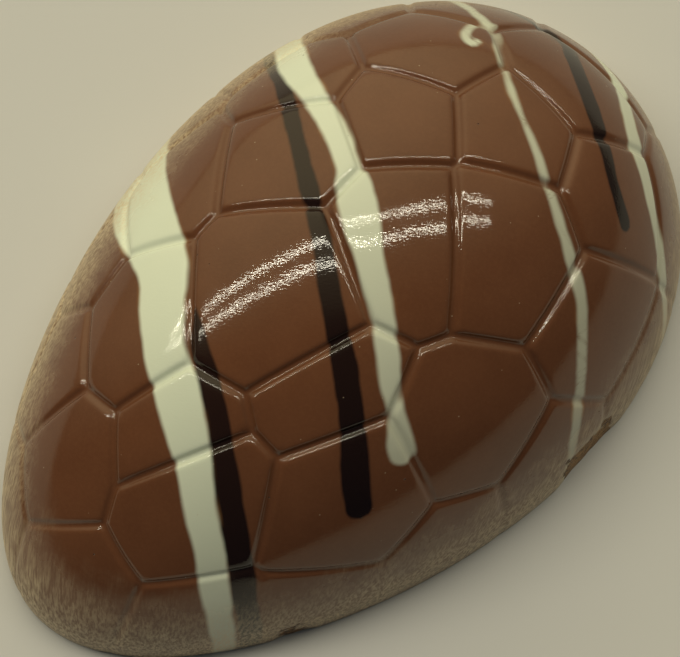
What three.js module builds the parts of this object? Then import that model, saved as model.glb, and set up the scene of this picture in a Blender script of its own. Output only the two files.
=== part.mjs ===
// Half of a moulded chocolate egg lying on its cut rim, with the mould's crackle of shallow grooves.
// Millimetres. +X runs to the blunt end and +Z up, and the origin is under the middle of the length.
import * as THREE from "three";

// The egg: a round body drawn out along X and fatter towards the blunt end, cut at Z = 0.
const LENGTH = 150;
const WIDTH = 99.2;
const TAPER = 0.194;

// The crackle: each groove is a soft valley, and the cell between grooves is a low cushion. Over the
// last RIM_BAND mm above the rim both grow shallower, down to the share RIM_SHARE.
const GROOVE_DEPTH = 0.7;
const GROOVE_HALF_WIDTH = 0.85;
const CUSHION_DROP = 0.3;
const CUSHION_REACH = 3.2;
const RIM_BAND = 46;
const RIM_SHARE = 0.15;

// Cells of the crackle, one line each: the centre as mm along X and degrees round the egg, from 0 at
// the near rim over 90 at the top to 180 at the far rim, then how far the cell pushes its neighbours
// back, in square mm.
const CELLS = [
  [14, 86, 0],
  [27, 70, 0],
  [29, 108, 0],
  [43, 88, -40],
  [-9, 97, 80],
  [12, 118, 40],
  [-15, 72, -90],
  [-38, 88, -75],
  [-43, 71, 0],
  [-23, 45, 90],
  [-1, 42, 30],
  [32, 38, -20],
  [50, 56, -40],
  [62, 88, 20],
  [43, 118, 0],
  [23, 131, 0],
  [-6, 139, 30],
  [-28, 119, 0],
  [-44, 142, 0],
  [-24, 151, 0],
  [-55, 118, -20],
  [-69, 86, 0],
  [-54, 27, 0],
  [10, 17, 0],
  [37, 7, 0],
  [62, 20, 0],
  [5, 163, 0],
  [25, 162, 0],
  [43, 158, 0],
  [62, 142, 0],
  [72, 98, 0],
  [-15, 168, 0],
  [-40, 168, 0],
  [-65, 156, 0],
  [-12, 20, 0],
  [-38, 17, 60],
];
// Neighbours with no groove between them: they are one long cell along the near rim.
const JOINED_CELLS = [
  [22, 35],
  [34, 35],
];

// Chips of the near rim: mm along X to the middle, half length, height, and depth at the rim.
const RIM_CHIPS = [
  { along: 20, halfLength: 9, height: 12.5, depth: 0.7 },
  { along: -43, halfLength: 4, height: 8, depth: 0.4 },
];

// How finely the surface is split: the longest step along a groove, how far the rings lie in from
// the groove in mm, and where the inner rings lie on the way to the cell's middle.
const STEP = 3.5;
const RING_DISTANCES = [0.9, 2.4];
const INNER_RINGS = [0.4, 0.7];

const HALF_LENGTH = LENGTH / 2;
const STRETCH = LENGTH / WIDTH;
const RIM = -1;
const BASE_NORMAL = new THREE.Vector3(0, 0, 1);

// The radius round the X axis where the body is half as long as it will be, chosen so that the
// widest place measures WIDTH.
function middleRadius() {
  let widest = 0;
  for (let s = -1; s <= 1; s += 0.0005) {
    widest = Math.max(widest, Math.sqrt(1 - s * s) * (1 + TAPER * s));
  }
  return WIDTH / 2 / widest;
}
const MIDDLE_RADIUS = middleRadius();

// The egg is worked out on a unit sphere: u is a point of the sphere, and this is its place on the
// smooth egg, sunk by drop mm along the surface normal.
function eggPoint(u, drop) {
  const radius = MIDDLE_RADIUS * (1 + TAPER * u.x);
  const slope = (MIDDLE_RADIUS / HALF_LENGTH) * (u.x * (1 + TAPER * u.x) - TAPER * (1 - u.x * u.x));
  const normal = new THREE.Vector3(slope, u.y, u.z).normalize();
  return new THREE.Vector3(HALF_LENGTH * u.x, radius * u.y, radius * u.z).addScaledVector(normal, -drop);
}

// Cells are weighed up in a space as long for its width as the egg is.
function stretched(v) {
  return new THREE.Vector3(v.x * STRETCH, v.y, v.z);
}

const seeds = CELLS.map(([along, round, push]) => {
  const x = along / HALF_LENGTH;
  const ring = Math.sqrt(1 - x * x);
  const angle = THREE.MathUtils.degToRad(round);
  const onSphere = new THREE.Vector3(x, -ring * Math.cos(angle), ring * Math.sin(angle));
  return { place: stretched(onSphere), push: push / (WIDTH / 2) ** 2 };
});

// The less this is, the more the point belongs to the cell.
function claim(cell, u) {
  return stretched(u).distanceToSquared(seeds[cell].place) - seeds[cell].push;
}

// How far in mm a point of a cell lies from the middle line of its groove to another cell.
function grooveDistance(cell, other, u) {
  const apart = seeds[cell].place.distanceTo(seeds[other].place);
  return (((claim(other, u) - claim(cell, u)) / (2 * apart)) * WIDTH) / 2;
}

function joined(a, b) {
  return JOINED_CELLS.some((pair) => pair.includes(a) && pair.includes(b));
}

// How far the surface of a cell is sunk under the smooth egg by its grooves and its cushion shape.
function crackleDrop(cell, u) {
  let grooves = 0;
  let cushion = 0;
  seeds.forEach((seed, other) => {
    if (other === cell || joined(cell, other)) return;
    const distance = Math.max(0, grooveDistance(cell, other, u));
    grooves += Math.exp(-4 * (distance / GROOVE_HALF_WIDTH) ** 2);
    cushion += Math.exp((-4 * distance) / CUSHION_REACH);
  });
  return GROOVE_DEPTH * grooves ** 0.25 + CUSHION_DROP * cushion ** 0.25;
}

// How far a chip of the near rim has taken the surface back. It leaves a nearly flat face: the round
// of the egg's side is gone, and towards the rim the depth is added.
function chipDrop(place) {
  if (place.y > 0) return 0;
  return RIM_CHIPS.reduce((most, chip) => {
    const across = 1 - Math.abs(place.x - chip.along) / chip.halfLength;
    const up = place.z / chip.height;
    if (across < 0 || up > 1) return most;
    const round = (chip.height ** 2 * up * (1 - up)) / WIDTH;
    return Math.max(most, Math.min(1, 2 * across) * (round + chip.depth * (1 - up)));
  }, 0);
}

function surfacePoint(cell, u) {
  const smooth = eggPoint(u, 0);
  const share = RIM_SHARE + (1 - RIM_SHARE) * THREE.MathUtils.smoothstep(smooth.z, 0, RIM_BAND);
  return eggPoint(u, share * crackleDrop(cell, u) + chipDrop(smooth));
}

// The wall between two cells cuts the sphere in the circle of the points where normal . u = offset,
// and so does the rim.
function wall(a, b) {
  if (a === RIM || b === RIM) return { normal: BASE_NORMAL, offset: 0 };
  const one = seeds[a];
  const two = seeds[b];
  const between = two.place.clone().sub(one.place);
  const offset = (two.place.lengthSq() - two.push - one.place.lengthSq() + one.push) / 2;
  return { normal: stretched(between), offset };
}

// The points where two such circles cross.
function crossings(first, second) {
  const line = first.normal.clone().cross(second.normal);
  const size = line.lengthSq();
  if (size < 1e-12) return [];
  const middle = second.normal.clone().cross(line).multiplyScalar(first.offset);
  middle.add(line.clone().cross(first.normal).multiplyScalar(second.offset)).divideScalar(size);
  const room = 1 - middle.lengthSq();
  if (room <= 0) return [];
  const reach = Math.sqrt(room / size);
  return [reach, -reach].map((k) => middle.clone().addScaledVector(line, k));
}

// A corner is a point where three cells meet, or two cells and the rim.
function findCorners() {
  const corners = [];
  const tolerance = 1e-9;
  const keep = (u, owners) => {
    const cells = owners.filter((owner) => owner !== RIM);
    const own = claim(cells[0], u) - tolerance;
    const taken = seeds.some((seed, other) => !cells.includes(other) && claim(other, u) < own);
    if (!taken) corners.push({ u, owners });
  };
  for (let a = 0; a < seeds.length; a++) {
    for (let b = a + 1; b < seeds.length; b++) {
      for (const u of crossings(wall(a, b), wall(a, RIM))) keep(u, [RIM, a, b]);
      for (let c = b + 1; c < seeds.length; c++) {
        for (const u of crossings(wall(a, b), wall(a, c))) {
          if (u.z > 0) keep(u, [a, b, c]);
        }
      }
    }
  }
  return corners;
}
const corners = findCorners();

const positions = [];
const triangles = [];
const rim = [];

function addVertex(place) {
  positions.push(place.x, place.y, place.z);
  return positions.length / 3 - 1;
}

// A vertex on a border, which two or three cells share.
function addBorderVertex(u, owners) {
  const cell = Math.min(...owners.filter((owner) => owner !== RIM));
  const place = surfacePoint(cell, u);
  const index = addVertex(place);
  if (owners.includes(RIM)) rim.push({ index, angle: Math.atan2(place.y, place.x) });
  return index;
}

corners.forEach((corner) => {
  corner.index = addBorderVertex(corner.u, corner.owners);
});

// The stretch of border from one corner to the next, as steps of u with their vertices, made once
// for the two cells that share it.
const borders = new Map();
function border(cell, from, to) {
  const key = [corners.indexOf(from), corners.indexOf(to)].sort((a, b) => a - b).join("-");
  if (!borders.has(key)) {
    const neighbour = from.owners.find((owner) => owner !== cell && to.owners.includes(owner));
    const circle = wall(cell, neighbour);
    const centre = circle.normal.clone().multiplyScalar(circle.offset / circle.normal.lengthSq());
    const radius = Math.sqrt(1 - centre.lengthSq());
    const along = borderSteps(eggPoint(from.u, 0).distanceTo(eggPoint(to.u, 0)), neighbour === RIM);
    const inside = along.map((t) => {
      const u = from.u.clone().lerp(to.u, t).sub(centre).setLength(radius).add(centre);
      return { u, index: addBorderVertex(u, [cell, neighbour]) };
    });
    borders.set(key, { first: from, neighbour, inside });
  }
  const found = borders.get(key);
  const inside = found.first === from ? found.inside : [...found.inside].reverse();
  return { start: from, inside };
}

// Where a border is split: evenly, and on the rim also beside the grooves that run out there.
function borderSteps(length, onRim) {
  const count = Math.max(1, Math.round(length / STEP));
  const steps = Array.from({ length: count - 1 }, (_, i) => (i + 1) / count);
  const side = (1.6 * GROOVE_HALF_WIDTH) / length;
  if (!onRim || side > 0.4) return steps;
  const clear = steps.filter((t) => t > 1.5 * side && t < 1 - 1.5 * side);
  return [side, ...clear, 1 - side];
}

// A ring of border points is carried towards the middle of the cell, ring by ring.
function addCell(cell) {
  const own = corners.filter((corner) => corner.owners.includes(cell));
  if (own.length < 3) return;
  const middle = own.reduce((sum, corner) => sum.add(corner.u), new THREE.Vector3()).normalize();
  const east = new THREE.Vector3(0, 0, 1).cross(middle).normalize();
  const north = middle.clone().cross(east);
  const turn = (corner) => Math.atan2(corner.u.dot(north), corner.u.dot(east));
  own.sort((a, b) => turn(a) - turn(b));
  const outer = [];
  own.forEach((corner, i) => {
    const found = border(cell, corner, own[(i + 1) % own.length]);
    outer.push({ u: found.start.u, index: found.start.index }, ...found.inside);
  });
  const centre = eggPoint(middle, 0);
  const spans = outer.map((point) => eggPoint(point.u, 0).distanceTo(centre));
  const shares = (point, i) => {
    const steps = RING_DISTANCES.map((distance, k) => Math.min(distance / spans[i], 0.16 * (k + 1)));
    return [...steps, ...INNER_RINGS];
  };
  const levels = RING_DISTANCES.length + INNER_RINGS.length;
  let last = outer.map((point) => point.index);
  for (let level = 0; level < levels; level++) {
    const ring = outer.map((point, i) => {
      const u = point.u.clone().lerp(middle, shares(point, i)[level]).normalize();
      return addVertex(surfacePoint(cell, u));
    });
    ring.forEach((inner, i) => {
      const next = (i + 1) % ring.length;
      triangles.push(last[i], last[next], ring[next], last[i], ring[next], inner);
    });
    last = ring;
  }
  const top = addVertex(surfacePoint(cell, middle));
  last.forEach((index, i) => triangles.push(index, last[(i + 1) % last.length], top));
}

// The flat cut face that the half lies on.
function addBase() {
  rim.sort((a, b) => a.angle - b.angle);
  const middle = addVertex(new THREE.Vector3(0, 0, 0));
  rim.forEach(({ index }, i) => triangles.push(middle, rim[(i + 1) % rim.length].index, index));
}

function eggHalf() {
  seeds.forEach((seed, cell) => addCell(cell));
  addBase();
  const geometry = new THREE.BufferGeometry();
  geometry.setAttribute("position", new THREE.Float32BufferAttribute(positions, 3));
  geometry.setIndex(triangles);
  geometry.computeVertexNormals();
  const chocolate = new THREE.MeshStandardMaterial({ color: "#6b452c", roughness: 0.3, metalness: 0 });
  const mesh = new THREE.Mesh(geometry, chocolate);
  mesh.name = "egg_half";
  return mesh;
}

const egg = new THREE.Group();
egg.add(eggHalf());

export default egg;
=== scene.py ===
# Half of a moulded chocolate egg: crackle relief, white and dark stripes set flush in milk chocolate,
# a matt scuffed band and two chips at the near rim.
import math
import bpy
import numpy as np
from mathutils import Matrix, Vector


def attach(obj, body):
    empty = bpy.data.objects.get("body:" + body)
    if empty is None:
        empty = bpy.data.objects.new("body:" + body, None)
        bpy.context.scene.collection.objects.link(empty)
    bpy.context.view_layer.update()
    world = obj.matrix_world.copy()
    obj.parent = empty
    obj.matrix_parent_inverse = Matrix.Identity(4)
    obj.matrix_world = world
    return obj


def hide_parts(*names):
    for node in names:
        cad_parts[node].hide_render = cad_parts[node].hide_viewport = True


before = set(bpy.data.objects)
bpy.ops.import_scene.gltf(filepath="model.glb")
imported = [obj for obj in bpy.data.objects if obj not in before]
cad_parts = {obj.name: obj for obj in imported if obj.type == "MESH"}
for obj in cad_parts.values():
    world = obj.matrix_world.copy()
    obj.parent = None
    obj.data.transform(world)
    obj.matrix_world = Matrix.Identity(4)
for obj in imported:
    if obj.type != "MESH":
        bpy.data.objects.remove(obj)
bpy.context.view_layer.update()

MM = 0.001
IMAGE_SIZE = (680, 657)

# The egg and its crackle in mm, as in the CAD model.
LENGTH = 150.0
WIDTH = 99.2
TAPER = 0.194
GROOVE_DEPTH = 0.7
GROOVE_HALF_WIDTH = 0.85
CUSHION_DROP = 0.3
CUSHION_REACH = 3.2
RIM_BAND = 46.0
RIM_SHARE = 0.15
HALF_LENGTH = LENGTH / 2
STRETCH = np.array([LENGTH / WIDTH, 1.0, 1.0])
RIM = -1

# The matt band along the rim is fully worn below WORN_HEIGHT and fades out at SCUFF_HEIGHT, in mm, and
# its edge varies by up to about half of SCUFF_PATCHES. Scratches reach a share of its height. On the far
# side, between the given mm along Y, the band comes to reach the far rise in mm higher, and there its pale
# bloom is a painted reflection along the far edge.
WORN_HEIGHT = 4.0
SCUFF_HEIGHT = 34.0
SCUFF_PATCHES = 16.0
SCRATCH_SHARE = 0.68
FAR_SIDE = (12.0, 45.0)
# The far rise: how much higher the band reaches on the far side, where its pale bloom is painted
# reflection.
FAR_HAZE_RISE = 14.0

# The skin lies this far in mm under the smooth egg, so that it stays inside the CAD model's box.
SKIN_DROP = 0.06

# Cells of the crackle: mm along X, degrees round from the near rim, and the push in square mm.
CELLS = (
    (14, 86, 0), (27, 70, 0), (29, 108, 0), (43, 88, -40), (-9, 97, 80), (12, 118, 40),
    (-15, 72, -90), (-38, 88, -75), (-43, 71, 0), (-23, 45, 90), (-1, 42, 30), (32, 38, -20),
    (50, 56, -40), (62, 88, 20), (43, 118, 0), (23, 131, 0), (-6, 139, 30), (-28, 119, 0),
    (-44, 142, 0), (-24, 151, 0), (-55, 118, -20), (-69, 86, 0), (-54, 27, 0), (10, 17, 0),
    (37, 7, 0), (62, 20, 0), (5, 163, 0), (25, 162, 0), (43, 158, 0), (62, 142, 0),
    (72, 98, 0), (-15, 168, 0), (-40, 168, 0), (-65, 156, 0), (-12, 20, 0), (-38, 17, 60),
)
JOINED_CELLS = ((22, 35), (34, 35))

# Chips of the near rim: mm along X to the middle, half length, height, and depth at the rim.
RIM_CHIPS = ((20.0, 9.0, 12.5, 0.7), (-43.0, 4.0, 8.0, 0.4))

# Mesh fineness in mm: step along a groove and distances of the outer rings of a cell from it. Each outer
# ring takes at most RING_SHARE of the way to the cell's middle, and the inner rings share the rest.
STEP = 1.0
RING_DISTANCES = (0.18, 0.36, 0.54, 0.74, 0.98, 1.3, 1.75, 2.4, 3.2)
RING_SHARE = 0.065
INNER_RINGS = 8

# Stripes: how well each covers the milk chocolate at its start and end, and its route as mm along X,
# degrees round from the near rim and width in mm.
WHITE_STRIPES = (
    ((1.0, 0.8), (
        (-4, 165, 16), (-12, 143, 14), (-18, 122.5, 10.6), (-24.2, 113.2, 9), (-28.8, 105.8, 8.2),
        (-32.2, 96.5, 8.4), (-35.5, 88, 7.7), (-39, 79, 6.5), (-42.8, 69.8, 6), (-46, 58.5, 5.6),
        (-49.5, 45, 5.4), (-52.8, 24.2, 4.6), (-54.5, 2, 4),
    )),
    ((1.0, 0.6), (
        (35, 172, 5), (28, 146, 6), (24.6, 134.8, 6), (22.4, 125.4, 4.7), (19, 112, 4.6),
        (15.6, 103.5, 4.7), (13, 98.8, 6.6), (10, 93.2, 6.5), (7.2, 87.8, 5.3), (3.5, 80.8, 4.7),
        (0, 73.8, 4.1), (-4.8, 65.2, 3.9), (-6.5, 61.5, 3.2), (-8.4, 57, 3.7), (-10.3, 52.4, 5),
        (-10.9, 50.8, 5),
    )),
    ((0.7, 0.5), (
        (60, 152, 2.4), (56.5, 117.5, 2.2), (52.8, 106.5, 1.8), (46.5, 91.8, 1.5), (41.8, 78.5, 1.5),
        (37.4, 67, 2), (34.5, 59, 2.2), (31, 49, 2.6), (25.4, 39, 2.6), (16.4, 20, 2.4), (13, 2, 2),
    )),
    ((0.95, 0.55), (
        (73, 110, 3.2), (69.8, 79, 4), (66.8, 71, 4), (62.4, 63, 4.2), (58.8, 53, 4.6), (53.4, 39, 3.6),
        (48, 23, 2.8), (44, 2, 2),
    )),
    ((0.6, 0.8), (
        (57.4, 117.6, 1.8), (54.8, 119.6, 1.8), (52, 117.6, 1.9), (50.4, 115, 1.9), (50, 112.4, 2),
        (51.4, 112.4, 1.6),
    )),
)
DARK_STRIPES = (
    ((0.9, 1.0), (
        (-20.2, 106.8, 1), (-22.8, 102.8, 3.1), (-24.8, 99, 4.1), (-27.2, 92.2, 4.2), (-30.5, 84, 4),
        (-34.5, 76, 4.6), (-38, 67, 4.9), (-41.5, 56.5, 4.8), (-44.8, 43.8, 4.7), (-47.5, 31, 4.4),
        (-50.5, 2, 4),
    )),
    ((0.9, 1.0), (
        (27, 158, 2.7), (20, 132, 2.9), (11, 112, 3.3), (4, 98, 3.5), (-4, 84, 4), (-14, 64, 4.6),
        (-20, 52, 5.1), (-22.4, 45.6, 4.8),
    )),
    ((0.9, 1.0), (
        (65, 140, 2.4), (66.3, 106, 3.3), (63.5, 94, 3.5), (58.6, 79.6, 3.7), (54, 67.4, 3.1),
        (50.8, 61, 2.6), (47.2, 51, 2.9),
    )),
)

# Camera: elevation, turn of the long axis in the picture plane, distance, focal length in pixels
# and the point it looks at in mm.
CAMERA_ELEVATION = 75.0
CAMERA_TURN = 43.73
CAMERA_DISTANCE = 450.0
FOCAL_PIXELS = 2478.0
AIM = (0.0, 0.0, 20.0)
AIM_RIGHT = 1.79
AIM_DOWN = 2.36

# Lamps: height over the floor in metres, and in lamp heights the tubes' length, thickness, shift to the
# right and way ahead.
LAMP_HEIGHT = 0.9
TUBE_RADIANCE = 66.0
LAMP_COLOUR = (1.0, 0.94, 0.75)
TUBE_LENGTH = 1.8
TUBE_THICKNESS = 0.009
TUBE_ASIDE = -0.15
TUBES_AHEAD = (("tube_far", 0.33), ("tube_near", 0.18))

# Soft glows of the room: way to each as parts forward, right and up, the cosine of the angle from it at
# which the glow starts, and its colour.
GLOWS = (
    (0.79, 0.0, 0.62, 0.35, (0.57, 0.51, 0.3, 1)),
    (0.78, -0.48, 0.4, 0.5, (0.5, 0.44, 0.26, 1)),
    (0.45, 0.75, 0.45, 0.5, (0.09, 0.08, 0.05, 1)),
)
ROOM_COLOUR = (0.01, 0.017, 0.03, 1)

# The floor runs this far in metres each way from the middle.
FLOOR_REACH = 3.0

# Colours, linear red, green, blue.
MILK_DEEP = (0.13, 0.05, 0.023, 1)
MILK_PALE = (0.153, 0.06, 0.028, 1)
MILK_SPECK = (0.27, 0.12, 0.055, 1)
WHITE = (0.8, 0.87, 0.72, 1)
DARK = (0.012, 0.006, 0.005, 1)
STAIN = (0.36, 0.18, 0.06, 1)
# Bloom: pale wear on the near rim, and on the far edge a painted reflection.
BLOOM_AND_FAR_HAZE = (0.72, 0.58, 0.38, 1)
SHEEN = (1.0, 0.92, 0.72, 1)
PALE_DUST = (0.5, 0.4, 0.28, 1)
# Crumb colours. The dark one is the crumb's own dark tone and also the painted shade at the shallow top of
# a chip, under its lip.
CRUMB_DARK_AND_SHADED = (0.07, 0.024, 0.009, 1)
CRUMB_PALE = (0.46, 0.25, 0.09, 1)
FLOOR_PALE = (0.66, 0.66, 0.66, 1)
FLOOR_DEEP = (0.645, 0.645, 0.64, 1)

# Stripe edges, and the stain beside a white stripe, run between these mm inside of a stripe's edge. A
# noise times EDGE_WANDER mm shifts them.
WHITE_EDGE = (-0.5, 0.6)
DARK_EDGE = (-0.35, 0.4)
STAIN_EDGE = (-0.9, -0.1)
EDGE_WANDER = 1.0

# The skin is cut where a chip's depth passes CHIP_CUT mm. Crumb shows where that depth and a noise times
# CHIP_EDGE mm pass CHIP_CRUMB mm. The crumb's tone follows a noise and grows paler where the chip is
# deep, so that its shallow top stays dark as painted shade under the chip's lip.
CHIP_CUT = (0.02, 0.06)
CHIP_CRUMB = (0.36, 0.42)
CHIP_EDGE = 1.8
# How much paler crumb grows with a chip's depth. The shallow top that is left dark is painted shade under
# the lip.
CRUMB_SHADE_BY_DEPTH = 0.25

# Dust specks and pits: spacing and radius in mm, and the share of places that has one.
DUST = (2.6, 0.17, 0.35)
PITS = (4.7, 0.22, 0.25)

# Grains of the noises in mm along X, Y and Z, before their turns.
CLOUD_GRAIN = (18, 18, 18)
MOTTLE_GRAIN = (0.7, 0.7, 0.7)
EDGE_GRAIN = (6, 6, 6)
STAIN_GRAIN = (9, 9, 9)
CRUMB_GRAIN = (1.0, 1.0, 0.8)
CHIP_GRAIN = (4.5, 4.5, 4.5)
PATCH_GRAIN = (6, 6, 6)
WAVE_GRAIN = (8, 8, 8)
PEEL_GRAIN = (1.6, 1.6, 1.6)
STREAK_GRAIN = (0.8, 0.35, 0.35)
HATCH_GRAIN = (5.0, 0.5, 0.5)
RUBBLE_GRAIN = (0.8, 0.8, 0.6)
FLOOR_GRAIN = (40, 40, 40)

# Depths of the fine relief in mm.
WAVE_DEPTH = 0.05
PEEL_DEPTH = 0.008
STREAK_DEPTH = 0.012
PIT_DEPTH = 0.1
HATCH_DEPTH = 0.06
RUBBLE_DEPTH = 0.5

# Roughness of the polished skin, the worn band, the crumb and the floor, and the chocolate's gloss.
POLISHED_ROUGHNESS = (0.04, 0.08)
WORN_ROUGHNESS = 0.48
CRUMB_ROUGHNESS = 0.75
FLOOR_ROUGHNESS = 0.8
CHOCOLATE_IOR = 1.48
SHEEN_WEIGHT = 0.2
SHEEN_ROUGHNESS = 0.25

# Turns of the polishing streaks and of the scratches at the rim.
STREAK_TURN = (0.0, 0.0, math.radians(44))
HATCH_TURN = (0.0, math.radians(50), math.radians(-25))


# The smooth egg

def middle_radius():
    s = np.linspace(-1, 1, 4001)
    return WIDTH / 2 / (np.sqrt(1 - s * s) * (1 + TAPER * s)).max()


MIDDLE_RADIUS = middle_radius()


def egg_points(u, drop=0.0):
    """Places in mm of points u of the unit sphere, sunk by drop mm along the normal."""
    radius = MIDDLE_RADIUS * (1 + TAPER * u[:, 0])
    slope = MIDDLE_RADIUS / HALF_LENGTH * (u[:, 0] * (1 + TAPER * u[:, 0]) - TAPER * (1 - u[:, 0] ** 2))
    normals = np.column_stack([slope, u[:, 1], u[:, 2]])
    normals /= np.linalg.norm(normals, axis=1, keepdims=True)
    places = np.column_stack([HALF_LENGTH * u[:, 0], radius * u[:, 1], radius * u[:, 2]])
    return places - normals * np.broadcast_to(drop, len(u))[:, None]


def on_sphere(along, around):
    x = np.asarray(along, float) / HALF_LENGTH
    angle = np.radians(around)
    ring = np.sqrt(np.clip(1 - x * x, 0, 1))
    return np.stack([x, -ring * np.cos(angle), ring * np.sin(angle)], axis=-1)


def unit(v):
    return v / np.linalg.norm(v, axis=-1, keepdims=True)


# The crackle

SEEDS = np.array([on_sphere(c[0], c[1]) * STRETCH for c in CELLS])
PUSHES = np.array([c[2] for c in CELLS]) / (WIDTH / 2) ** 2


def claims(u):
    """For each point, how far it is from belonging to each cell: the least wins."""
    spread = (u * STRETCH)[:, None, :] - SEEDS[None]
    return (spread ** 2).sum(axis=2) - PUSHES


def groove_distances(cell, u):
    """Distances in mm of points of a cell from its grooves, one column for each other cell."""
    all_claims = claims(u)
    apart = np.linalg.norm(SEEDS - SEEDS[cell], axis=1)
    apart[cell] = 1.0
    distances = (all_claims - all_claims[:, cell:cell + 1]) / (2 * apart) * WIDTH / 2
    left_out = [cell] + [sum(pair) - cell for pair in JOINED_CELLS if cell in pair]
    distances[:, left_out] = np.inf
    return np.maximum(distances, 0)


def crackle_drop(distances):
    grooves = np.exp(-4 * (distances / GROOVE_HALF_WIDTH) ** 3).sum(axis=1) ** 0.25
    cushion = np.exp(-4 * distances / CUSHION_REACH).sum(axis=1) ** 0.25
    return GROOVE_DEPTH * grooves + CUSHION_DROP * cushion


def chip_drop(places):
    deepest = np.zeros(len(places))
    for along, half_length, height, depth in RIM_CHIPS:
        across = 1 - np.abs(places[:, 0] - along) / half_length
        up = places[:, 2] / height
        inside = (across > 0) & (up < 1) & (places[:, 1] < 0)
        chip = np.minimum(1, 2 * across) * (height ** 2 * up * (1 - up) / WIDTH + depth * (1 - up))
        deepest = np.where(inside, np.maximum(deepest, chip), deepest)
    return deepest


def smooth_step(x):
    x = np.clip(x, 0, 1)
    return x * x * (3 - 2 * x)


def surface_points(cell, u):
    smooth = egg_points(u)
    share = RIM_SHARE + (1 - RIM_SHARE) * smooth_step(smooth[:, 2] / RIM_BAND)
    crackle = share * crackle_drop(groove_distances(cell, u))
    return egg_points(u, SKIN_DROP + crackle + chip_drop(smooth))


def wall(a, b):
    """The circle normal . u = offset in which the wall between two cells, or the rim, cuts the sphere."""
    if RIM in (a, b):
        return np.array([0.0, 0.0, 1.0]), 0.0
    normal = (SEEDS[b] - SEEDS[a]) * STRETCH
    offset = (SEEDS[b] @ SEEDS[b] - PUSHES[b] - SEEDS[a] @ SEEDS[a] + PUSHES[a]) / 2
    return normal, offset


def crossings(first, second):
    line = np.cross(first[0], second[0])
    size = line @ line
    if size < 1e-12:
        return []
    middle = (np.cross(second[0], line) * first[1] + np.cross(line, first[0]) * second[1]) / size
    room = 1 - middle @ middle
    if room <= 0:
        return []
    reach = math.sqrt(room / size)
    return [middle + line * reach, middle - line * reach]


def find_corners():
    """The points where three cells meet, or two cells and the rim, as (u, owners)."""
    found = []
    count = len(CELLS)
    for a in range(count):
        for b in range(a + 1, count):
            found += [(u, (RIM, a, b)) for u in crossings(wall(a, b), wall(a, RIM))]
            for c in range(b + 1, count):
                crossed = crossings(wall(a, b), wall(a, c))
                found += [(u, (a, b, c)) for u in crossed if u[2] > 0]
    points = np.array([u for u, owners in found])
    every = claims(points)
    least = every.min(axis=1)
    own = every[np.arange(len(found)), [max(owners) for u, owners in found]]
    return [found[i] for i in np.flatnonzero(own <= least + 1e-9)]


CORNERS = find_corners()


class Skin:
    """The mesh as it grows: places in mm, the sphere points they come from, and faces."""

    def __init__(self):
        self.places = []
        self.sources = []
        self.faces = []
        self.rim = []
        self.borders = {}
        self.count = 0
        self.corner_index = [int(self.add_border(u[None], owners)[0]) for u, owners in CORNERS]

    def add(self, places, sources):
        self.places.append(places)
        self.sources.append(sources)
        self.count += len(places)
        return np.arange(self.count - len(places), self.count)

    def add_border(self, u, owners):
        cell = min(owner for owner in owners if owner != RIM)
        places = surface_points(cell, u)
        index = self.add(places, u)
        if RIM in owners:
            self.rim += [(math.atan2(p[1], p[0]), i) for p, i in zip(places, index)]
        return index

    def border(self, cell, start, end):
        """Sphere points and vertices from one corner up to the next, shared by the cells beside it."""
        key = (min(start, end), max(start, end))
        if key not in self.borders:
            u0, owners0 = CORNERS[start]
            u1, owners1 = CORNERS[end]
            other = next(o for o in owners0 if o != cell and o in owners1)
            normal, offset = wall(cell, other)
            centre = normal * offset / (normal @ normal)
            ends = egg_points(np.array([u0, u1]))
            count = max(2, round(np.linalg.norm(ends[0] - ends[1]) / STEP))
            t = np.linspace(0, 1, count + 1)[1:-1, None]
            spokes = unit(u0 * (1 - t) + u1 * t - centre)
            u = centre + spokes * math.sqrt(1 - centre @ centre)
            self.borders[key] = (start, u, self.add_border(u, (cell, other)))
        first, u, index = self.borders[key]
        if first != start:
            u, index = u[::-1], index[::-1]
        return np.vstack([CORNERS[start][0][None], u]), np.concatenate([[self.corner_index[start]], index])

    def add_cell(self, cell):
        own = [i for i, (u, owners) in enumerate(CORNERS) if cell in owners]
        if len(own) < 3:
            return
        middle = unit(sum(CORNERS[i][0] for i in own))
        east = unit(np.cross([0, 0, 1], middle))
        north = np.cross(middle, east)
        own.sort(key=lambda i: math.atan2(CORNERS[i][0] @ north, CORNERS[i][0] @ east))
        stretches = [self.border(cell, i, own[(k + 1) % len(own)]) for k, i in enumerate(own)]
        outer = np.vstack([u for u, index in stretches])
        last = np.concatenate([index for u, index in stretches])
        span = np.linalg.norm(egg_points(outer) - egg_points(middle[None]), axis=1)
        levels = [np.minimum(d / span, RING_SHARE * (k + 1)) for k, d in enumerate(RING_DISTANCES)]
        edge = levels[-1]
        levels += [edge + (1 - edge) * (k + 1) / (INNER_RINGS + 1) for k in range(INNER_RINGS)]
        for level in levels:
            u = unit(outer * (1 - level[:, None]) + middle * level[:, None])
            ring = self.add(surface_points(cell, u), u)
            self.faces.append(np.column_stack([last, np.roll(last, -1), np.roll(ring, -1), ring]))
            last = ring
        top = self.add(surface_points(cell, middle[None]), middle[None])[0]
        self.faces.append(np.column_stack([last, np.roll(last, -1), np.full(len(last), top)]))

    def add_base(self):
        order = np.array([i for angle, i in sorted(self.rim)])
        middle = self.add(np.zeros((1, 3)), np.array([[0.0, 0.0, 0.0]]))[0]
        self.faces.append(np.column_stack([np.roll(order, -1), order, np.full(len(order), middle)]))


# Stripes

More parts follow.
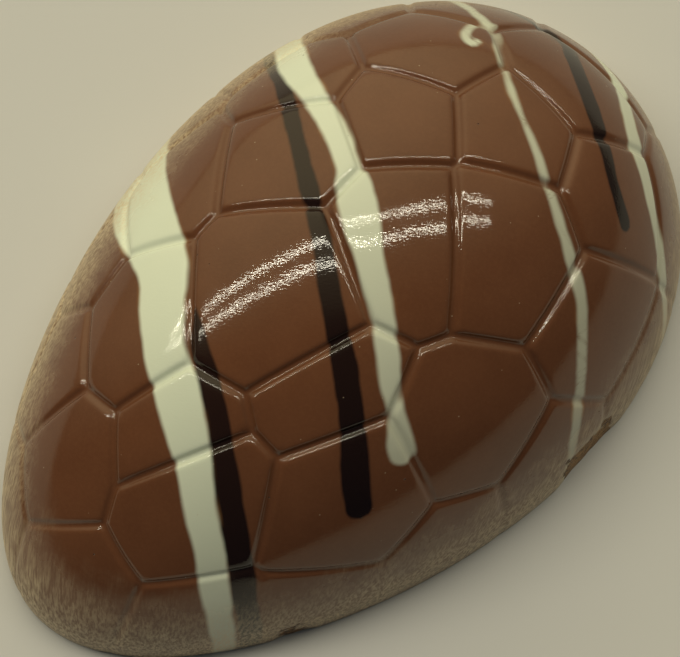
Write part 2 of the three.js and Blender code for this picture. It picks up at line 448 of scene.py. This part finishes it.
def route(points, steps=24):
    """A smooth curve through the given points of a stripe: places in mm and half widths."""
    table = np.array(points, float)
    padded = np.vstack([2 * table[0] - table[1], table, 2 * table[-1] - table[-2]])
    t = np.linspace(0, 1, steps, endpoint=False)[:, None]
    pieces = []
    for a, b, c, d in zip(padded, padded[1:], padded[2:], padded[3:]):
        cubic = (3 * b - a - 3 * c + d) * t ** 3
        square = (2 * a - 5 * b + 4 * c - d) * t ** 2
        pieces.append(0.5 * (2 * b + (c - a) * t + square + cubic))
    table = np.vstack(pieces + [table[-1:]])
    return egg_points(on_sphere(table[:, 0], table[:, 1])), table[:, 2] / 2


def stripe_values(places, stripes):
    """How far in mm each point lies inside the nearest stripe's edge, negative outside, and its cover."""
    depth = np.full(len(places), -20.0)
    cover = np.ones(len(places))
    for (cover_at_start, cover_at_end), points in stripes:
        middles, halves = route(points)
        covers = np.linspace(cover_at_start, cover_at_end, len(halves))
        for middle, half, covering in zip(middles, halves, covers):
            inside = half - np.linalg.norm(places - middle, axis=1)
            nearer = inside > depth
            depth[nearer] = inside[nearer]
            cover[nearer] = covering
    return depth, cover


# Materials

class Nodes:
    """A material's node tree, with short calls for the nodes that the chocolate needs."""

    def __init__(self, name):
        self.material = bpy.data.materials.new(name)
        self.material.use_nodes = True
        self.tree = self.material.node_tree
        self.shader = self.tree.nodes["Principled BSDF"]

    def add(self, kind, **values):
        node = self.tree.nodes.new(kind)
        for key, value in values.items():
            setattr(node, key, value)
        return node

    def give(self, target, value):
        """Join a node's output to an input, or set the input to a plain value."""
        if isinstance(value, bpy.types.NodeSocket):
            self.tree.links.new(value, target)
        else:
            target.default_value = value

    def attribute(self, name):
        return self.add("ShaderNodeAttribute", attribute_name=name).outputs["Fac"]

    def math(self, operation, a, b=0.0):
        node = self.add("ShaderNodeMath", operation=operation)
        self.give(node.inputs[0], a)
        self.give(node.inputs[1], b)
        return node.outputs[0]

    def ramp(self, value, low, high, to_low=0.0, to_high=1.0):
        node = self.add("ShaderNodeMapRange", interpolation_type="SMOOTHSTEP")
        self.give(node.inputs["Value"], value)
        self.give(node.inputs["From Min"], low)
        self.give(node.inputs["From Max"], high)
        self.give(node.inputs["To Min"], to_low)
        self.give(node.inputs["To Max"], to_high)
        return node.outputs["Result"]

    def mix(self, share, a, b):
        node = self.add("ShaderNodeMix", data_type="RGBA")
        colours = [socket for socket in node.inputs if socket.type == "RGBA"]
        self.give(node.inputs["Factor"], share)
        self.give(colours[0], a)
        self.give(colours[1], b)
        return [socket for socket in node.outputs if socket.type == "RGBA"][0]

    def axis(self, name):
        """Object coordinate in mm: Y runs to the far side and Z is the height above the floor."""
        split = self.add("ShaderNodeSeparateXYZ")
        self.give(split.inputs["Vector"], self.place((1, 1, 1)))
        return split.outputs[name]

    def place(self, grain, turn=(0.0, 0.0, 0.0)):
        """Object coordinates, turned, with one unit for each grain of the given mm along X, Y and Z."""
        turned = self.add("ShaderNodeMapping")
        self.give(turned.inputs["Vector"], self.add("ShaderNodeTexCoord").outputs["Object"])
        turned.inputs["Rotation"].default_value = turn
        scaled = self.add("ShaderNodeMapping")
        self.give(scaled.inputs["Vector"], turned.outputs["Vector"])
        scaled.inputs["Scale"].default_value = [1 / (size * MM) for size in grain]
        return scaled.outputs["Vector"]

    def noise(self, grain, detail=2.0, roughness=0.5, turn=(0.0, 0.0, 0.0), seed=0.0):
        """Noise around 0.5 with lumps of the given mm along X, Y and Z."""
        node = self.add("ShaderNodeTexNoise", noise_dimensions="4D")
        self.give(node.inputs["Vector"], self.place(grain, turn))
        node.inputs["W"].default_value = seed
        node.inputs["Scale"].default_value = 1.0
        node.inputs["Detail"].default_value = detail
        node.inputs["Roughness"].default_value = roughness
        return node.outputs["Fac"]

    def dots(self, spacing, radius, share):
        """Round dots of a radius in mm, in a share of the cells of a grid of a spacing in mm."""
        node = self.add("ShaderNodeTexVoronoi")
        self.give(node.inputs["Vector"], self.place((spacing, spacing, spacing)))
        node.inputs["Scale"].default_value = 1.0
        near = self.ramp(node.outputs["Distance"], radius / spacing, 0.5 * radius / spacing)
        split = self.add("ShaderNodeSeparateColor")
        self.give(split.inputs["Color"], node.outputs["Color"])
        picked = self.math("LESS_THAN", split.outputs["Red"], share)
        return self.math("MULTIPLY", near, picked)

    def bump(self, height, distance, normal=None):
        """Bump whose height of 0 to 1 stands for a distance in mm."""
        node = self.add("ShaderNodeBump")
        self.give(node.inputs["Height"], height)
        node.inputs["Distance"].default_value = distance * MM
        if normal is not None:
            self.give(node.inputs["Normal"], normal)
        return node.outputs["Normal"]


def chocolate_colour(n, bloom_and_far_haze, chip, pits):
    cloudy = n.ramp(n.noise(CLOUD_GRAIN, 3.0, 0.6), 0.3, 0.7)
    colour = n.mix(cloudy, MILK_DEEP, MILK_PALE)
    mottled = n.ramp(n.noise(MOTTLE_GRAIN, 3.0, 0.65, seed=3.0), 0.35, 0.75, 0.0, 0.09)
    colour = n.mix(mottled, colour, MILK_SPECK)
    wander = n.math("SUBTRACT", n.noise(EDGE_GRAIN, 1.5, 0.45, seed=5.0), 0.5)
    wander = n.math("MULTIPLY", wander, EDGE_WANDER)
    dark = n.math("ADD", n.attribute("dark"), wander)
    covered = n.math("MULTIPLY", n.ramp(dark, *DARK_EDGE), n.attribute("dark_cover"))
    colour = n.mix(covered, colour, DARK)
    white = n.math("ADD", n.attribute("white"), wander)
    here_and_there = n.ramp(n.noise(STAIN_GRAIN, 1.0, seed=8.0), 0.5, 0.75)
    stain = n.math("MULTIPLY", n.ramp(white, *STAIN_EDGE), here_and_there)
    colour = n.mix(n.math("MULTIPLY", stain, 0.5), colour, STAIN)
    covered = n.math("MULTIPLY", n.ramp(white, *WHITE_EDGE), n.attribute("white_cover"))
    colour = n.mix(covered, colour, WHITE)
    colour = n.mix(n.math("MULTIPLY", n.dots(*DUST), 0.5), colour, PALE_DUST)
    # Pits are also painted darker: painted shade inside the pinholes.
    colour = n.mix(n.math("MULTIPLY", pits, 0.6), colour, DARK)
    # Pale bloom: real wear at the near rim, and painted reflection along the far edge.
    colour = n.mix(bloom_and_far_haze, colour, BLOOM_AND_FAR_HAZE)
    # Crumb is paler where the chip is deeper and stays dark at its shallow top: painted shade under the
    # chip's lip.
    shade_by_depth = n.math("MULTIPLY", n.attribute("chip"), CRUMB_SHADE_BY_DEPTH)
    crumb_tone_and_shade = n.math("ADD", n.noise(CRUMB_GRAIN, 4.0, 0.7, seed=6.0), shade_by_depth)
    crumb = n.mix(n.ramp(crumb_tone_and_shade, 0.54, 0.76), CRUMB_DARK_AND_SHADED, CRUMB_PALE)
    return n.mix(chip, colour, crumb)


def chocolate_bump(n, scuff, hatch, chip, pits):
    wavy = n.bump(n.noise(WAVE_GRAIN, 1.0), WAVE_DEPTH)
    peel = n.bump(n.noise(PEEL_GRAIN, 2.0, seed=4.0), PEEL_DEPTH, wavy)
    streaks = n.bump(n.noise(STREAK_GRAIN, 1.0, 0.5, turn=STREAK_TURN), STREAK_DEPTH, peel)
    pitted = n.bump(n.math("MULTIPLY", pits, -1.0), PIT_DEPTH, streaks)
    scratched = n.bump(n.math("MULTIPLY", hatch, scuff), HATCH_DEPTH, pitted)
    rubble = n.noise(RUBBLE_GRAIN, 4.0, 0.7, seed=7.0)
    return n.bump(n.math("MULTIPLY", rubble, chip), RUBBLE_DEPTH, scratched)


def chocolate_material():
    n = Nodes("chocolate")
    patchy = n.math("MULTIPLY", n.math("SUBTRACT", n.noise(PATCH_GRAIN, 4.0, 0.6), 0.5), SCUFF_PATCHES)
    height = n.math("ADD", n.axis("Z"), patchy)
    # The band reaches higher on the far side, where its pale bloom paints a reflection along the far edge.
    height = n.math("SUBTRACT", height, n.ramp(n.axis("Y"), *FAR_SIDE, 0.0, FAR_HAZE_RISE))
    worn = n.ramp(height, SCUFF_HEIGHT, WORN_HEIGHT)
    scuff = n.ramp(height, SCRATCH_SHARE * SCUFF_HEIGHT, 0.0)
    hatch = n.noise(HATCH_GRAIN, 3.0, 0.65, turn=HATCH_TURN, seed=1.0)
    bloom_and_far_haze = n.math("MULTIPLY", scuff, n.ramp(hatch, 0.36, 0.64, 0.2, 1.0))
    ragged = n.math("SUBTRACT", n.noise(CHIP_GRAIN, 4.0, 0.6, seed=10.0), 0.5)
    chip = n.math("ADD", n.attribute("chip"), n.math("MULTIPLY", ragged, CHIP_EDGE))
    chip = n.math("MINIMUM", n.ramp(chip, *CHIP_CRUMB), n.ramp(n.attribute("chip"), *CHIP_CUT))
    pits = n.dots(*PITS)
    n.give(n.shader.inputs["Base Color"], chocolate_colour(n, bloom_and_far_haze, chip, pits))
    gloss = n.ramp(n.noise(PATCH_GRAIN, 3.0, 0.6, seed=9.0), 0.3, 0.7, *POLISHED_ROUGHNESS)
    worn_rough = n.math("MULTIPLY", worn, WORN_ROUGHNESS)
    rough = n.math("MAXIMUM", worn_rough, n.math("MULTIPLY", chip, CRUMB_ROUGHNESS))
    n.give(n.shader.inputs["Roughness"], n.math("MAXIMUM", gloss, rough))
    n.give(n.shader.inputs["Normal"], chocolate_bump(n, scuff, hatch, chip, pits))
    n.shader.inputs["IOR"].default_value = CHOCOLATE_IOR
    n.shader.inputs["Sheen Weight"].default_value = SHEEN_WEIGHT
    n.shader.inputs["Sheen Roughness"].default_value = SHEEN_ROUGHNESS
    n.shader.inputs["Sheen Tint"].default_value = SHEEN
    return n.material


def floor_material():
    n = Nodes("pale_floor")
    grain = n.noise(FLOOR_GRAIN, 3.0)
    n.give(n.shader.inputs["Base Color"], n.mix(grain, FLOOR_PALE, FLOOR_DEEP))
    n.shader.inputs["Roughness"].default_value = FLOOR_ROUGHNESS
    return n.material


# Pieces

def build_egg():
    skin = Skin()
    for cell in range(len(CELLS)):
        skin.add_cell(cell)
    skin.add_base()
    places = np.vstack(skin.places)
    faces = [face for block in skin.faces for face in block.tolist()]
    mesh = bpy.data.meshes.new("egg_half_skin")
    mesh.from_pydata((places * MM).tolist(), [], faces)
    white, white_cover = stripe_values(places, WHITE_STRIPES)
    dark, dark_cover = stripe_values(places, DARK_STRIPES)
    values = {
        "white": white,
        "white_cover": white_cover,
        "dark": dark,
        "dark_cover": dark_cover,
        "chip": chip_drop(places),
    }
    for name, data in values.items():
        mesh.attributes.new(name, "FLOAT", "POINT").data.foreach_set("value", data.astype(np.float32))
    mesh.polygons.foreach_set("use_smooth", [True] * len(mesh.polygons))
    mesh.update()
    egg = bpy.data.objects.new("egg_half_skin", mesh)
    bpy.context.scene.collection.objects.link(egg)
    mesh.materials.append(chocolate_material())
    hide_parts("egg_half")
    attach(egg, "root")


def build_floor():
    mesh = bpy.data.meshes.new("floor")
    reach = FLOOR_REACH
    corners = [(-reach, -reach, 0), (reach, -reach, 0), (reach, reach, 0), (-reach, reach, 0)]
    mesh.from_pydata(corners, [], [(0, 1, 2, 3)])
    mesh.materials.append(floor_material())
    floor = bpy.data.objects.new("floor", mesh)
    bpy.context.scene.collection.objects.link(floor)


# Camera and light: forward and right are directions on the floor as the camera sees them

def view_axes():
    turn = math.radians(CAMERA_TURN)
    forward = Vector((math.sin(turn), math.cos(turn), 0))
    right = Vector((math.cos(turn), -math.sin(turn), 0))
    return forward, right


def build_camera():
    forward, right = view_axes()
    tilt = math.radians(CAMERA_ELEVATION)
    look = forward * math.cos(tilt) - Vector((0, 0, math.sin(tilt)))
    up = right.cross(look)
    aim = Vector(AIM) + right * AIM_RIGHT - up * AIM_DOWN
    data = bpy.data.cameras.new("camera")
    data.sensor_fit = "HORIZONTAL"
    data.sensor_width = 36.0
    data.lens = FOCAL_PIXELS / IMAGE_SIZE[0] * data.sensor_width
    data.clip_start = 0.01
    camera = bpy.data.objects.new("camera", data)
    turned = Matrix((right, up, -look)).transposed().to_4x4()
    camera.matrix_world = Matrix.Translation((aim - look * CAMERA_DISTANCE) * MM) @ turned
    bpy.context.scene.collection.objects.link(camera)
    bpy.context.scene.camera = camera


def area_light(name, place, size, radiance, colour, side):
    """A rectangle of light at a place in metres that faces the egg, its first side along the given way."""
    back = place.normalized()
    across = (side - back * side.dot(back)).normalized()
    data = bpy.data.lights.new(name, "AREA")
    data.shape = "RECTANGLE"
    data.size, data.size_y = size
    data.energy = radiance * math.pi * size[0] * size[1]
    data.color = colour
    light = bpy.data.objects.new(name, data)
    turned = Matrix((across, back.cross(across), back)).transposed().to_4x4()
    light.matrix_world = Matrix.Translation(place) @ turned
    bpy.context.scene.collection.objects.link(light)


def build_lights():
    forward, right = view_axes()
    up = Vector((0, 0, LAMP_HEIGHT))
    aside = right * (TUBE_ASIDE * LAMP_HEIGHT)
    size = (TUBE_LENGTH * LAMP_HEIGHT, TUBE_THICKNESS * LAMP_HEIGHT)
    for name, ahead in TUBES_AHEAD:
        place = up + aside + forward * (ahead * LAMP_HEIGHT)
        area_light(name, place, size, TUBE_RADIANCE, LAMP_COLOUR, right)
    world = bpy.data.worlds.new("room")
    world.use_nodes = True
    tree = world.node_tree
    background = tree.nodes["Background"]
    background.inputs["Strength"].default_value = 1.0
    glow = ROOM_COLOUR
    for ahead, to_right, upward, start, colour in GLOWS:
        direction = forward * ahead + right * to_right + Vector((0, 0, upward))
        glow = room_glow(tree, direction, start, colour, glow)
    tree.links.new(glow, background.inputs["Color"])
    bpy.context.scene.world = world
    bpy.context.scene.view_settings.view_transform = "Standard"


def room_glow(tree, direction, start, colour, rest):
    """Adds to the rest of the room a soft glow that is strongest in one direction."""
    dot = tree.nodes.new("ShaderNodeVectorMath")
    dot.operation = "DOT_PRODUCT"
    tree.links.new(tree.nodes.new("ShaderNodeTexCoord").outputs["Generated"], dot.inputs[0])
    dot.inputs[1].default_value = direction.normalized()
    ramp = tree.nodes.new("ShaderNodeMapRange")
    ramp.interpolation_type = "SMOOTHSTEP"
    tree.links.new(dot.outputs["Value"], ramp.inputs["Value"])
    ramp.inputs["From Min"].default_value = start
    mix = tree.nodes.new("ShaderNodeMix")
    mix.data_type = "RGBA"
    mix.blend_type = "ADD"
    tree.links.new(ramp.outputs["Result"], mix.inputs["Factor"])
    base, added = [socket for socket in mix.inputs if socket.type == "RGBA"]
    if isinstance(rest, bpy.types.NodeSocket):
        tree.links.new(rest, base)
    else:
        base.default_value = rest
    added.default_value = colour
    return [socket for socket in mix.outputs if socket.type == "RGBA"][0]


build_camera()
build_egg()
build_floor()
build_lights()
